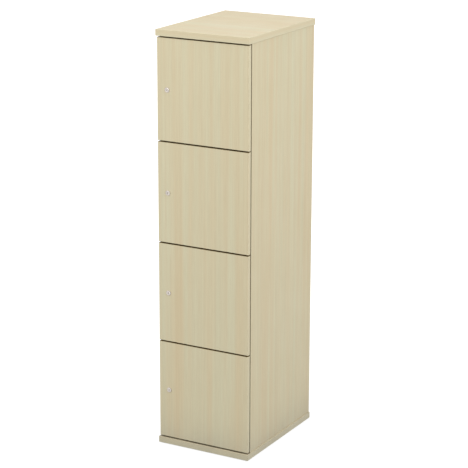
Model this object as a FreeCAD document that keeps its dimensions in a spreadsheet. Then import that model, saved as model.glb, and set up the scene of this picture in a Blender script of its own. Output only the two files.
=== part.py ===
import FreeCAD, Part
import os
from types import SimpleNamespace

import Sketcher

# Coin operated locker: one column of four compartments, each with a full overlay door on
# concealed hinges and a coin return lock. The boards are faced chipboard with edging strips,
# glued together over flat beech biscuits. Millimetres, +X right, +Z up, doors facing -Y, and the
# origin is on the floor under the middle of the column.

DOORS = 4
LEFT, RIGHT = -1, 1
DOWN, UP = -1, 1
FORWARD, BACKWARD = -1, 1
Z_AXIS = FreeCAD.Vector(0, 0, 1)
FULL_TURN = 360
NEAR = 1e-6

DRIVING_SIZES = {
    # The column and its boards
    "overall_width": 400,
    "overall_depth": 525,
    "overall_height": 1650,
    "cap_thick": 25,
    "cap_overhang": 4,
    "side_thick": 18,
    "divider_thick": 18,
    "door_thick": 18,
    "door_gap": 5,
    "door_stand_off": 3,
    # Back panel and its grooves
    "back_thick": 8,
    "back_setback": 10,
    "back_reach": 7,
    "groove_depth": 8,
    "groove_play": 0.1,
    "divider_back_play": 0.5,
    # Edging strips
    "edging_thick": 2,
    "edging_bevel": 1,
    "edging_joint": 0.1,
    # Biscuits in the glued joints, two to a joint
    "biscuit_length": 56,
    "biscuit_width": 23,
    "biscuit_flat": 28,
    "biscuit_tip": 9,
    "biscuit_thick": 4,
    "biscuit_inset": 90,
    "biscuit_slot_longer": 8,
    "biscuit_slot_deeper": 1,
    "bore_play": 0.1,
    # Glides under the base
    "foot_height": 4,
    "foot_diameter": 30,
    "foot_inset": 40,
    # Hinge cup, sunk in the door
    "hinge_from_door_end": 80,
    "cup_to_door_edge": 4.5,
    "cup_diameter": 35,
    "cup_depth": 12.6,
    "cup_wall": 1,
    "cup_flange_diameter": 38,
    "cup_flange_thick": 1.2,
    "cup_relief_width": 18,
    "cup_wing_offset": 9.5,
    "cup_wing_width": 12,
    "cup_wing_length": 57,
    "cup_corner_cut": 4,
    # Hinge linkage: pivots and bends from the middle of the cup's mouth, then pins and sheets
    "arm_inner_pivot_across": -4.2,
    "arm_inner_pivot_back": -6.1,
    "arm_outer_pivot_across": -23,
    "arm_outer_pivot_back": 3.1,
    "cup_inner_pivot_across": 10,
    "cup_inner_pivot_back": -4.6,
    "cup_outer_pivot_across": 9.2,
    "cup_outer_pivot_back": -1,
    "open_pivot_across": -0.45,
    "open_pivot_back": 0.15,
    "open_pivot_play": 0.6,
    "inner_bend_across": 4,
    "inner_bend_back": -8.7,
    "hinge_pin": 2,
    "pin_play": 0.06,
    "link_eye": 4.6,
    "outer_link_width": 3.6,
    "inner_link_width": 6,
    "layer_play": 0.3,
    "sheet_thick": 1.5,
    "arm_rise": 4.5,
    "arm_length": 58,
    "arm_tail_width": 16,
    # Mounting plate on the side panel
    "plate_setback": 37,
    "plate_thick": 2.5,
    "plate_wing_width": 14,
    "plate_wing_length": 46,
    "plate_corner_cut": 4,
    "saddle_length": 40,
    "saddle_rise": 20,
    # Coin return lock
    "lock_backset": 43,
    "rosette_diameter": 20,
    "rosette_rise": 2.5,
    "rosette_bevel": 0.8,
    "barrel_diameter": 18,
    "barrel_tail": 18,
    "plug_diameter": 13,
    "plug_recess": 0.4,
    "plug_play": 0.06,
    "keyway_width": 1.6,
    "keyway_height": 8,
    "keyway_depth": 8,
    "tail_square": 7,
    "tongue_from_door": 24,
    "tongue_thick": 3,
    "tongue_width": 14,
    "tongue_reach": 33,
    "nut_flats": 11,
    "nut_thick": 4,
    "case_depth": 42,
    "case_to_left": 13,
    "case_to_right": 46,
    "case_above": 62,
    "case_below": 80,
    "case_wall": 2.5,
    "case_corner": 5,
    "case_bevel": 2.5,
    "coin_diameter": 25,
    "coin_thick": 2.3,
    "coin_play": 0.8,
    "coin_slot_across": 30,
    "coin_slot_back": 31,
    "cup_pocket_width": 26,
    "cup_pocket_height": 30,
    "cup_pocket_depth": 28,
    "cup_pocket_below": 49,
    # Strike plate and mortise in the left side panel
    "strike_thick": 2,
    "strike_width": 26,
    "strike_margin": 15,
    "tongue_play": 2,
    "mortise_play": 1.5,
}


class Size:
    """A length with its value now and the sheet formula that keeps it current."""

    def __init__(self, value, formula=None):
        self.value = float(value)
        self.formula = formula or f"{float(value):g}"

    def joined(self, other, sign, value):
        return Size(value, f"({self.formula} {sign} {as_size(other).formula})")

    def __add__(self, other):
        return self.joined(other, "+", self.value + as_size(other).value)

    def __sub__(self, other):
        return self.joined(other, "-", self.value - as_size(other).value)

    def __mul__(self, other):
        return self.joined(other, "*", self.value * as_size(other).value)

    def __truediv__(self, other):
        return self.joined(other, "/", self.value / as_size(other).value)

    def __neg__(self):
        return self * -1

    def root(self):
        return Size(self.value**0.5, f"sqrt({self.formula})")


def as_size(number):
    return number if isinstance(number, Size) else Size(number)


def write_sizes(document, numbers):
    """Fills the sheet and returns each of its cells as a Size under the cell's own word."""
    sheet = document.addObject("Spreadsheet::Sheet", "sizes")
    for row, (word, number) in enumerate(numbers.items(), 1):
        sheet.set(f"A{row}", str(number))
        sheet.setAlias(f"A{row}", word)
    document.recompute()
    return SimpleNamespace(**{word: Size(sheet.get(word), f"sizes.{word}") for word in numbers})


doc = FreeCAD.newDocument("coin_operated_locker")
cell = write_sizes(doc, DRIVING_SIZES)

# Levels and planes that several pieces share
half_width = cell.overall_width / 2
half_depth = cell.overall_depth / 2
side_outer = half_width - cell.cap_overhang
side_inner = side_outer - cell.side_thick
side_middle = side_inner + cell.side_thick / 2
base_top = cell.foot_height + cell.cap_thick
top_under = cell.overall_height - cell.cap_thick
door_front = cell.cap_overhang - half_depth
door_back = door_front + cell.door_thick
carcass_front = door_back + cell.door_stand_off
carcass_rear = half_depth
back_rear = carcass_rear - cell.back_setback
back_front = back_rear - cell.back_thick
door_height = (top_under - base_top - cell.door_gap * (DOORS + 1)) / DOORS
door_pitch = door_height + cell.door_gap
biscuit_rows = [carcass_front + cell.biscuit_inset, back_front - cell.biscuit_inset]
hinge_line = side_outer - cell.cup_to_door_edge - cell.cup_diameter / 2
plate_middle = carcass_front + cell.plate_setback
wing_line = hinge_line - cell.cup_wing_offset
lock_line = cell.lock_backset - side_outer
tongue_front = door_back + cell.tongue_from_door
tongue_back = tongue_front + cell.tongue_thick
lock_to_side = side_inner + lock_line
tongue_drop = (cell.tongue_reach * cell.tongue_reach - lock_to_side * lock_to_side).root()
strike_slot_low = -tongue_drop - cell.tongue_play
strike_slot_high = cell.tongue_width / 2 + cell.tongue_play
strike_low = strike_slot_low - cell.strike_margin
strike_high = strike_slot_high + cell.strike_margin
strike_middle = (tongue_front + tongue_back) / 2
mortise_depth = cell.tongue_reach - lock_to_side + cell.mortise_play


def door_middle(number):
    """Height of the middle of a door, counted from 1 at the top."""
    return top_under - cell.door_gap - door_height / 2 - door_pitch * (number - 1)


def divider_middle(number):
    """Height of the middle of the divider under the door with the same number."""
    return top_under - cell.door_gap / 2 - door_pitch * number


def hinge_offsets():
    """Heights of a door's two hinges from the door's middle."""
    offset = door_height / 2 - cell.hinge_from_door_end
    return [-offset, offset]


def hinge_heights(number):
    return [door_middle(number) + offset for offset in hinge_offsets()]


steps = []
nodes = []


def bind(thing, name, size):
    thing.setExpression(name, as_size(size).formula)


def new_body(label, kept=True):
    """Starts a body. A kept body is a piece of the locker, any other is a master for copies."""
    body = doc.addObject("PartDesign::Body", label)
    body.AllowCompound = True
    if kept:
        nodes.append(body)
    return body


class Drawing:
    """A fully constrained sketch on one of a body's own base planes, at a place on its axis."""

    def __init__(self, body, plane, place=0):
        self.body = body
        self.normal = -1 if plane == "XZ_Plane" else 1
        self.sketch = body.newObject("Sketcher::SketchObject", f"{body.Name}_sketch")
        base = next(item for item in body.Origin.OriginFeatures if item.Role == plane)
        self.sketch.AttachmentSupport = [(base, "")]
        self.sketch.MapMode = "FlatFace"
        bind(self.sketch, "AttachmentOffset.Base.z", as_size(place) * self.normal)

    def measure(self, kind, size, *where):
        size = as_size(size)
        index = self.sketch.addConstraint(Sketcher.Constraint(kind, *where, size.value))
        bind(self.sketch, f"Constraints[{index}]", size)

    def locate(self, geometry, point, across, up):
        self.measure("DistanceX", across, -1, 1, geometry, point)
        self.measure("DistanceY", up, -1, 1, geometry, point)

    def join(self, kind, *ends):
        self.sketch.addConstraint(Sketcher.Constraint(kind, *ends))

    def outline(self, *corners):
        """Draws a closed outline of straight lines through the corners."""
        points = [FreeCAD.Vector(as_size(x).value, as_size(y).value, 0) for x, y in corners]
        following = points[1:] + points[:1]
        lines = [self.sketch.addGeometry(Part.LineSegment(*ends)) for ends in zip(points, following)]
        for line, after in zip(lines, lines[1:] + lines[:1]):
            self.join("Coincident", line, 2, after, 1)
        for line, (across, up) in zip(lines, corners):
            self.locate(line, 1, across, up)
        return self

    def rectangle(self, left, right, low, high):
        return self.outline((left, low), (right, low), (right, high), (left, high))

    def clipped(self, across, up, width, height, corner):
        """Draws a rectangle about its middle, with its four corners cut off."""
        half = as_size(width) / 2
        reach = as_size(height) / 2
        right, left = across + half, across - half
        top, low = as_size(up) + reach, as_size(up) - reach
        return self.outline(
            (left, low + corner),
            (left + corner, low),
            (right - corner, low),
            (right, low + corner),
            (right, top - corner),
            (right - corner, top),
            (left + corner, top),
            (left, top - corner),
        )

    def circle(self, across, up, diameter):
        centre = FreeCAD.Vector(as_size(across).value, as_size(up).value, 0)
        circle = Part.Circle(centre, Z_AXIS, as_size(diameter).value / 2)
        ring = self.sketch.addGeometry(circle)
        self.locate(ring, 3, across, up)
        self.measure("Diameter", diameter, ring)
        return self

    def slot(self, start, end, width):
        """Draws a bar with round ends about the two points."""
        first = FreeCAD.Vector(as_size(start[0]).value, as_size(start[1]).value, 0)
        last = FreeCAD.Vector(as_size(end[0]).value, as_size(end[1]).value, 0)
        radius = as_size(width).value / 2
        along = (last - first).normalize()
        beside = Z_AXIS.cross(along) * radius
        start_arc = Part.Arc(first + beside, first - along * radius, first - beside)
        end_arc = Part.Arc(last - beside, last + along * radius, last + beside)
        shapes = [
            start_arc,
            Part.LineSegment(first - beside, last - beside),
            end_arc,
            Part.LineSegment(last + beside, first + beside),
        ]
        sides = [self.sketch.addGeometry(shape) for shape in shapes]
        for side, after in zip(sides, sides[1:] + sides[:1]):
            self.join("Tangent", side, 2, after, 1)
        self.join("Equal", sides[0], sides[2])
        self.locate(sides[0], 3, *start)
        self.locate(sides[2], 3, *end)
        self.measure("Radius", as_size(width) / 2, sides[0])
        return self

    def biscuit(self, middle, upright, longer=0, wider=0):
        """Draws a biscuit's outline, which narrows to both ends, up or along the sketch."""
        across, up = as_size(middle[0]), as_size(middle[1])
        reach = (cell.biscuit_length + longer) / 2
        flat = (cell.biscuit_flat + longer) / 2
        half = (cell.biscuit_width + wider) / 2
        tip = (cell.biscuit_tip + wider) / 2
        corners = [(-reach, -tip), (-flat, -half), (flat, -half), (reach, -tip)]
        corners += [(-x, -y) for x, y in corners]
        if upright:
            corners = [(-y, x) for x, y in corners]
        return self.outline(*[(across + x, up + y) for x, y in corners])

    def feature(self, kind):
        feature = self.body.newObject(kind, f"{self.body.Name}_step")
        feature.Profile = self.sketch
        steps.append(feature)
        return feature

    def pad(self, depth, towards):
        pad = self.feature("PartDesign::Pad")
        pad.Reversed = towards != self.normal
        bind(pad, "Length", depth)

    def pocket(self, depth, towards):
        pocket = self.feature("PartDesign::Pocket")
        pocket.Reversed = towards == self.normal
        bind(pocket, "Length", depth)

    def revolve(self):
        """Turns the outline a full turn about the sketch's own upright axis."""
        turned = self.feature("PartDesign::Revolution")
        turned.ReferenceAxis = (self.sketch, ["V_Axis"])
        turned.Angle = FULL_TURN


def bevel_edges(body, size, chosen):
    """Bevels the edges of the newest shape whose box passes the test."""
    doc.recompute()
    base = body.Tip
    edges = enumerate(base.Shape.Edges, 1)
    bevel = body.newObject("PartDesign::Chamfer", f"{body.Name}_bevel")
    bevel.Base = (base, [f"Edge{number}" for number, edge in edges if chosen(edge.BoundBox)])
    bind(bevel, "Size", size)


def group(label, pieces, kept=True):
    """Joins copies of masters, each set at its own place, into one named group."""
    links = []
    for master, place, turn in pieces:
        link = doc.addObject("App::Link", f"{label}_copy")
        link.LinkedObject = master
        link.Placement = FreeCAD.Placement(FreeCAD.Vector(), turn)
        for axis, size in zip("xyz", place):
            bind(link, f"Placement.Base.{axis}", size)
        links.append(link)
    whole = doc.addObject("Part::Compound", label)
    whole.Links = links
    if kept:
        nodes.append(whole)
    return whole


def biscuit_slots(body, middles, upright):
    """Saws the slots for flat biscuits. Each middle lies on the joint of two boards."""
    plane, way = ("YZ_Plane", 0) if upright else ("XY_Plane", 2)
    thick = cell.biscuit_thick + cell.bore_play
    for place in {middle[way].value: middle[way] for middle in middles}.values():
        slots = Drawing(body, plane, place - thick / 2)
        for middle in middles:
            if middle[way].value == place.value:
                rest = middle[1:] if upright else middle[:2]
                slots.biscuit(rest, not upright, cell.biscuit_slot_longer, cell.biscuit_slot_deeper * 2)
        slots.pocket(thick, UP)


def cap_biscuits(level):
    """Middles of the biscuits between both sides and the cap board at the level."""
    return [(side_middle * side, row, level) for side in (LEFT, RIGHT) for row in biscuit_rows]


def divider_biscuits(number, sides=(LEFT, RIGHT)):
    """Middles of the biscuits between a divider and the sides."""
    height = divider_middle(number)
    return [(side_inner * side, row, height) for side in sides for row in biscuit_rows]


def cap_panel(label, under, inner_face, towards):
    """A thick board over or under the sides, with its back groove and biscuit slots."""
    edge = half_width - cell.edging_thick
    front = cell.edging_thick - half_depth
    body = new_body(label)
    Drawing(body, "XY_Plane", under).rectangle(-edge, edge, front, carcass_rear).pad(cell.cap_thick, UP)
    groove = Drawing(body, "XY_Plane", inner_face)
    groove.rectangle(-edge, edge, back_front - cell.groove_play, back_rear + cell.groove_play)
    groove.pocket(cell.groove_depth, towards)
    biscuit_slots(body, cap_biscuits(inner_face), upright=True)


def side_panel(label, side):
    """A side board with the back groove and the slots of all its biscuits."""
    face = side_inner * side
    front = carcass_front + cell.edging_thick
    body = new_body(label)
    board = Drawing(body, "YZ_Plane", face)
    board.rectangle(front, carcass_rear, base_top, top_under).pad(cell.side_thick, side)
    groove = Drawing(body, "YZ_Plane", face)
    groove.rectangle(back_front - cell.groove_play, back_rear + cell.groove_play, base_top, top_under)
    groove.pocket(cell.groove_depth, side)
    for level in (base_top, top_under):
        ends = [middle for middle in cap_biscuits(level) if middle[0].value * side > 0]
        biscuit_slots(body, ends, upright=True)
    for number in range(1, DOORS):
        biscuit_slots(body, divider_biscuits(number, [side]), upright=False)
    return body


def left_side_panel():
    """The lock side: each strike plate is let in flush over a mortise for the lock's tongue."""
    body = side_panel("side_panel_left", LEFT)
    face = -side_inner
    recesses = Drawing(body, "YZ_Plane", face)
    mortises = Drawing(body, "YZ_Plane", face)
    for number in range(1, DOORS + 1):
        lock_height = door_middle(number)
        recesses.rectangle(
            strike_middle - cell.strike_width / 2 - cell.bore_play,
            strike_middle + cell.strike_width / 2 + cell.bore_play,
            lock_height + strike_low - cell.bore_play,
            lock_height + strike_high + cell.bore_play,
        )
        mortises.rectangle(
            tongue_front - cell.tongue_play,
            tongue_back + cell.tongue_play,
            lock_height + strike_slot_low,
            lock_height + strike_slot_high,
        )
    recesses.pocket(cell.strike_thick, LEFT)
    mortises.pocket(mortise_depth, LEFT)


def back_panel():
    """A thin board that slides in the grooves of the sides and caps."""
    reach = side_inner + cell.back_reach
    body = new_body("back_panel")
    board = Drawing(body, "XZ_Plane", back_front)
    board.rectangle(-reach, reach, base_top - cell.back_reach, top_under + cell.back_reach)
    board.pad(cell.back_thick, BACKWARD)


def divider(label, number):
    """A fixed shelf between two compartments."""
    under = divider_middle(number) - cell.divider_thick / 2
    front = carcass_front + cell.edging_thick
    rear = back_front - cell.divider_back_play
    body = new_body(label)
    board = Drawing(body, "XY_Plane", under)
    board.rectangle(-side_inner, side_inner, front, rear).pad(cell.divider_thick, UP)
    biscuit_slots(body, divider_biscuits(number), upright=False)


def biscuits():
    """Pressed beech biscuits, half in each of the two boards that they join."""
    ways = {"cap_biscuit": ("YZ_Plane", False), "divider_biscuit": ("XY_Plane", True)}
    masters = []
    for label, (plane, upright) in ways.items():
        master = new_body(label, kept=False)
        leaf = Drawing(master, plane, -cell.biscuit_thick / 2)
        leaf.biscuit((0, 0), upright).pad(cell.biscuit_thick, UP)
        masters.append(master)
    cap_biscuit, divider_biscuit = masters
    flat = FreeCAD.Rotation()
    pieces = []
    for level in (base_top, top_under):
        pieces += [(cap_biscuit, middle, flat) for middle in cap_biscuits(level)]
    for number in range(1, DOORS):
        pieces += [(divider_biscuit, middle, flat) for middle in divider_biscuits(number)]
    group("biscuits", pieces)


def edge_banding():
    """Strips on the fronts of all boards and on the ends of the top and the base."""
    body = new_body("edge_banding")
    inner = half_width - cell.edging_thick
    front = cell.edging_thick - half_depth
    for under in (cell.foot_height, top_under):
        strips = Drawing(body, "XY_Plane", under)
        strips.rectangle(-half_width, half_width, -half_depth, front)
        for side in (LEFT, RIGHT):
            ends = sorted((inner * side, half_width * side), key=lambda size: size.value)
            strips.rectangle(*ends, front + cell.edging_joint, carcass_rear)
        strips.pad(cell.cap_thick, UP)
    fronts = Drawing(body, "XZ_Plane", carcass_front)
    for side in (LEFT, RIGHT):
        ends = sorted((side_inner * side, side_outer * side), key=lambda size: size.value)
        fronts.rectangle(*ends, base_top, top_under)
    between = side_inner - cell.edging_joint
    for number in range(1, DOORS):
        under = divider_middle(number) - cell.divider_thick / 2
        fronts.rectangle(-between, between, under, under + cell.divider_thick)
    fronts.pad(cell.edging_thick, BACKWARD)
    levels = [size.value for size in (cell.foot_height, base_top, top_under, cell.overall_height)]

    def on_rim(box):
        flat = box.ZLength < NEAR and any(abs(box.ZMin - level) < NEAR for level in levels)
        outside = abs(abs(box.XMin) - half_width.value) < NEAR and box.XLength < NEAR
        before = abs(box.YMin + half_depth.value) < NEAR and box.YLength < NEAR
        return flat and (outside or before)

    bevel_edges(body, cell.edging_bevel, on_rim)


def glides():
    """Four flat plastic glides nailed under the base."""
    master = new_body("glide_master", kept=False)
    Drawing(master, "XY_Plane").circle(0, 0, cell.foot_diameter).pad(cell.foot_height, UP)
    across = half_width - cell.foot_inset
    along = half_depth - cell.foot_inset
    places = [(across * x, along * y, 0) for x in (LEFT, RIGHT) for y in (FORWARD, BACKWARD)]
    group("glides", [(master, place, FreeCAD.Rotation()) for place in places])


def from_cup(across, back):
    """A point of the hinge, given from the middle of the cup's mouth when the door is shut."""
    return hinge_line + across, door_back + back


arm_inner_pivot = from_cup(cell.arm_inner_pivot_across, cell.arm_inner_pivot_back)
arm_outer_pivot = from_cup(cell.arm_outer_pivot_across, cell.arm_outer_pivot_back)
cup_inner_pivot = from_cup(cell.cup_inner_pivot_across, cell.cup_inner_pivot_back)
cup_outer_pivot = from_cup(cell.cup_outer_pivot_across, cell.cup_outer_pivot_back)
open_pivot = (cup_outer_pivot[0] + cell.open_pivot_across, cup_outer_pivot[1] + cell.open_pivot_back)
inner_bend = from_cup(cell.inner_bend_across, cell.inner_bend_back)
eye_radius = cell.link_eye / 2
cheek_inside = cell.inner_link_width / 2 + cell.layer_play
cheek_outside = cheek_inside + cell.sheet_thick
outer_link_inside = cheek_outside + cell.layer_play
outer_link_outside = outer_link_inside + cell.sheet_thick
pin_reach = outer_link_outside + cell.layer_play - cheek_outside


def hinge_cup_master():
    """The die-cast cup with its screw wings, two lugs inside and the pins for both links."""
    body = new_body("hinge_cup_master", kept=False)
    bottom = door_back - cell.cup_depth + cell.cup_wall
    rim = cell.cup_flange_diameter / 2
    half_relief = cell.cup_relief_width / 2
    flange = Drawing(body, "XZ_Plane", door_back)
    flange.circle(hinge_line, 0, cell.cup_flange_diameter).pad(cell.cup_flange_thick, BACKWARD)
    wings = Drawing(body, "XZ_Plane", door_back)
    wings.clipped(wing_line, 0, cell.cup_wing_width, cell.cup_wing_length, cell.cup_corner_cut)
    wings.pad(cell.cup_flange_thick, BACKWARD)
    relief = Drawing(body, "XZ_Plane", door_back)
    relief.rectangle(hinge_line - rim, hinge_line + rim, -half_relief, half_relief)
    relief.pocket(cell.cup_flange_thick, BACKWARD)
    outside = Drawing(body, "XZ_Plane", door_back)
    outside.circle(hinge_line, 0, cell.cup_diameter - cell.bore_play * 2)
    outside.pad(cell.cup_depth, FORWARD)
    inside = Drawing(body, "XZ_Plane", bottom)
    inside.circle(hinge_line, 0, cell.cup_diameter - (cell.bore_play + cell.cup_wall) * 2)
    inside.pocket(cell.cup_depth + cell.cup_flange_thick, BACKWARD)
    inner_across = cup_inner_pivot[0]
    outer_across, outer_back = cup_outer_pivot
    for towards in (DOWN, UP):
        lug = Drawing(body, "XY_Plane", cheek_inside * towards)
        lug.outline(
            (inner_across - eye_radius, bottom),
            (inner_across + eye_radius, bottom),
            (outer_across + eye_radius, outer_back + eye_radius / 2),
            (outer_across + eye_radius / 2, outer_back + eye_radius),
            (outer_across - eye_radius / 2, outer_back + eye_radius),
            (outer_across - eye_radius, outer_back + eye_radius / 2),
        )
        lug.pad(cell.sheet_thick, towards)
        outer_pin = Drawing(body, "XY_Plane", cheek_outside * towards)
        outer_pin.circle(*cup_outer_pivot, cell.hinge_pin).pad(pin_reach, towards)
    inner_pin = Drawing(body, "XY_Plane", -cheek_inside)
    inner_pin.circle(*cup_inner_pivot, cell.hinge_pin).pad(cheek_inside * 2, UP)
    return body


def inner_link_master():
    """The short link: a thick bent bar that dips round the lip of the cup."""
    body = new_body("inner_link_master", kept=False)
    half = cell.inner_link_width / 2
    for start, end in ((arm_inner_pivot, inner_bend), (inner_bend, cup_inner_pivot)):
        Drawing(body, "XY_Plane", -half).slot(start, end, cell.link_eye).pad(cell.inner_link_width, UP)
    eyes = Drawing(body, "XY_Plane", -half)
    for pivot in (arm_inner_pivot, cup_inner_pivot):
        eyes.circle(*pivot, cell.hinge_pin + cell.pin_play * 2)
    eyes.pocket(cell.inner_link_width, UP)
    return body


def outer_link_master():
    """The long link: two flat side plates outside the arm, loose on the cup's outer pins."""
    body = new_body("outer_link_master", kept=False)
    for towards in (DOWN, UP):
        inside = outer_link_inside * towards
        plate = Drawing(body, "XY_Plane", inside)
        plate.slot(arm_outer_pivot, open_pivot, cell.outer_link_width).pad(cell.sheet_thick, towards)
        eyes = Drawing(body, "XY_Plane", inside)
        for pivot in (arm_outer_pivot, open_pivot):
            eyes.circle(*pivot, cell.link_eye)
        eyes.pad(cell.sheet_thick, towards)
        holes = Drawing(body, "XY_Plane", inside)
        holes.circle(*arm_outer_pivot, cell.hinge_pin + cell.pin_play * 2)
        holes.circle(*open_pivot, cell.hinge_pin + cell.open_pivot_play * 2)
        holes.pocket(cell.sheet_thick, towards)
    return body


def hinge_arm_master():
    """The arm: a folded channel whose nose dips into the cup and whose tail sits on the saddle."""
    body = new_body("hinge_arm_master", kept=False)
    inner_across, inner_back = arm_inner_pivot
    outer_across, outer_back = arm_outer_pivot
    shoulder = door_back + cell.arm_rise
    spine = outer_across - eye_radius
    tail = spine + cell.arm_tail_width
    rear = carcass_front + cell.arm_length
    for towards in (DOWN, UP):
        cheek = Drawing(body, "XY_Plane", cheek_inside * towards)
        cheek.outline(
            (spine, outer_back - eye_radius / 2),
            (spine + eye_radius / 2, outer_back - eye_radius),
            (outer_across + eye_radius / 2, outer_back - eye_radius),
            (inner_across - eye_radius, shoulder - eye_radius),
            (inner_across - eye_radius, inner_back - eye_radius / 2),
            (inner_across - eye_radius / 2, inner_back - eye_radius),
            (inner_across + eye_radius / 2, inner_back - eye_radius),
            (inner_across + eye_radius, inner_back - eye_radius / 2),
            (inner_across + eye_radius, shoulder + eye_radius),
            (tail, plate_middle - cell.saddle_length / 2),
            (tail, rear),
            (spine, rear),
        )
        cheek.pad(cell.sheet_thick, towards)
        outer_pin = Drawing(body, "XY_Plane", cheek_outside * towards)
        outer_pin.circle(*arm_outer_pivot, cell.hinge_pin).pad(pin_reach, towards)
    inner_pin = Drawing(body, "XY_Plane", -cheek_inside)
    inner_pin.circle(*arm_inner_pivot, cell.hinge_pin).pad(cheek_inside * 2, UP)
    web = Drawing(body, "XY_Plane", -cheek_inside)
    web.rectangle(spine, spine + cell.sheet_thick, outer_back + cell.link_eye, rear)
    web.pad(cheek_inside * 2, UP)
    return body


def hinge_plate_master():
    """The winged mounting plate, screwed to the side, with the saddle that carries the arm."""
    body = new_body("hinge_plate_master", kept=False)
    wings = Drawing(body, "YZ_Plane", side_inner)
    wings.clipped(plate_middle, 0, cell.plate_wing_width, cell.plate_wing_length, cell.plate_corner_cut)
    wings.pad(cell.plate_thick, LEFT)
    saddle = Drawing(body, "YZ_Plane", side_inner)
    half = cell.saddle_length / 2
    saddle.rectangle(plate_middle - half, plate_middle + half, -cheek_inside, cheek_inside)
    saddle.pad(cell.saddle_rise, LEFT)
    return body


def at_heights(master, heights):
    return [(master, (0, 0, height), FreeCAD.Rotation()) for height in heights]


def strike_plates():
    """Steel plates let into the left side, each with a slot for a lock's tongue."""
    master = new_body("strike_plate_master", kept=False)
    half = cell.strike_width / 2
    plate = Drawing(master, "YZ_Plane", -side_inner)
    plate.rectangle(strike_middle - half, strike_middle + half, strike_low, strike_high)
    plate.pad(cell.strike_thick, LEFT)
    slot = Drawing(master, "YZ_Plane", -side_inner)
    front = tongue_front - cell.tongue_play
    rear = tongue_back + cell.tongue_play
    slot.rectangle(front, rear, strike_slot_low, strike_slot_high).pocket(cell.strike_thick, LEFT)
    heights = [door_middle(number) for number in range(1, DOORS + 1)]
    group("strike_plates", at_heights(master, heights))


def door_panel(label, height):
    """A door board with two blind cup bores and the hole for the lock's barrel."""
    body = new_body(label)
    across = side_outer - cell.edging_thick
    up = door_height / 2 - cell.edging_thick
    Drawing(body, "XZ_Plane", door_front).rectangle(-across, across, -up, up).pad(cell.door_thick, BACKWARD)
    cups = Drawing(body, "XZ_Plane", door_back)
    for offset in hinge_offsets():
        cups.circle(hinge_line, offset, cell.cup_diameter)
    cups.pocket(cell.cup_depth + cell.bore_play, FORWARD)
    lock = Drawing(body, "XZ_Plane", door_back)
    lock.circle(lock_line, 0, cell.barrel_diameter + cell.bore_play * 2).pocket(cell.door_thick, FORWARD)
    bind(body, "Placement.Base.z", height)


def door_edging(label, height):
    """Four strips round the door, bevelled where they meet its face and its back."""
    body = new_body(label)
    outer = side_outer
    inner = outer - cell.edging_thick
    between = inner - cell.edging_joint
    top = door_height / 2
    below_top = top - cell.edging_thick
    strips = Drawing(body, "XZ_Plane", door_front)
    strips.rectangle(-outer, -inner, -top, top).rectangle(inner, outer, -top, top)
    strips.rectangle(-between, between, -top, -below_top).rectangle(-between, between, below_top, top)
    strips.pad(cell.door_thick, BACKWARD)

    def outside(box):
        beside = abs(abs(box.XMin) - outer.value) < NEAR and box.XLength < NEAR
        over = abs(abs(box.ZMin) - top.value) < NEAR and box.ZLength < NEAR
        on_face = box.YLength < NEAR
        return on_face and (beside or over)

    bevel_edges(body, cell.edging_bevel, outside)
    bind(body, "Placement.Base.z", height)


def at_lock(body, height):
    bind(body, "Placement.Base.x", lock_line)
    bind(body, "Placement.Base.z", height)


def lock_barrel(label, height):
    """The turned barrel: a rosette on the door's face and a tube through the door."""
    body = new_body(label)
    bore = cell.plug_diameter / 2 + cell.plug_play
    rim = cell.rosette_diameter / 2
    tube = cell.barrel_diameter / 2
    face = door_front - cell.rosette_rise
    end = door_back + cell.barrel_tail
    Drawing(body, "XY_Plane").outline(
        (bore, face),
        (rim - cell.rosette_bevel, face),
        (rim, face + cell.rosette_bevel),
        (rim, door_front),
        (tube, door_front),
        (tube, end),
        (bore, end),
    ).revolve()
    at_lock(body, height)


def lock_plug(label, height):
    """The turning plug with its keyway, and the square tail that carries the tongue."""
    body = new_body(label)
    half_tail = cell.tail_square / 2
    face = door_front - cell.rosette_rise + cell.plug_recess
    shoulder = door_back + cell.barrel_tail + cell.layer_play
    end = tongue_back + cell.nut_thick
    Drawing(body, "XZ_Plane", face).circle(0, 0, cell.plug_diameter).pad(shoulder - face, BACKWARD)
    tail = Drawing(body, "XZ_Plane", shoulder)
    tail.rectangle(-half_tail, half_tail, -half_tail, half_tail).pad(end - shoulder, BACKWARD)
    keyway = Drawing(body, "XZ_Plane", face)
    half_width_of_key = cell.keyway_width / 2
    half_height = cell.keyway_height / 2
    keyway.rectangle(-half_width_of_key, half_width_of_key, -half_height, half_height)
    keyway.pocket(cell.keyway_depth, BACKWARD)
    at_lock(body, height)


def lock_tongue(label, height):
    """The steel tongue, hanging when unlocked, with the nut that holds it on the plug's tail."""
    body = new_body(label)
    tip = cell.tongue_width / 2 - cell.tongue_reach
    half_hole = (cell.tail_square + cell.bore_play) / 2
    blade = Drawing(body, "XZ_Plane", tongue_front)
    blade.slot((0, 0), (0, tip), cell.tongue_width).pad(cell.tongue_thick, BACKWARD)
    half = cell.nut_flats / 2
    # A hexagon's corners lie 2 / sqrt(3) times as far out as its flats.
    corner = half * 2 / as_size(3).root()
    nut = Drawing(body, "XZ_Plane", tongue_back)
    nut.outline(
        (corner, 0),
        (corner / 2, half),
        (-corner / 2, half),
        (-corner, 0),
        (-corner / 2, -half),
        (corner / 2, -half),
    ).pad(cell.nut_thick, BACKWARD)
    hole = Drawing(body, "XZ_Plane", tongue_front)
    hole.rectangle(-half_hole, half_hole, -half_hole, half_hole)
    hole.pocket(cell.tongue_thick + cell.nut_thick, BACKWARD)
    at_lock(body, height)


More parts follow.
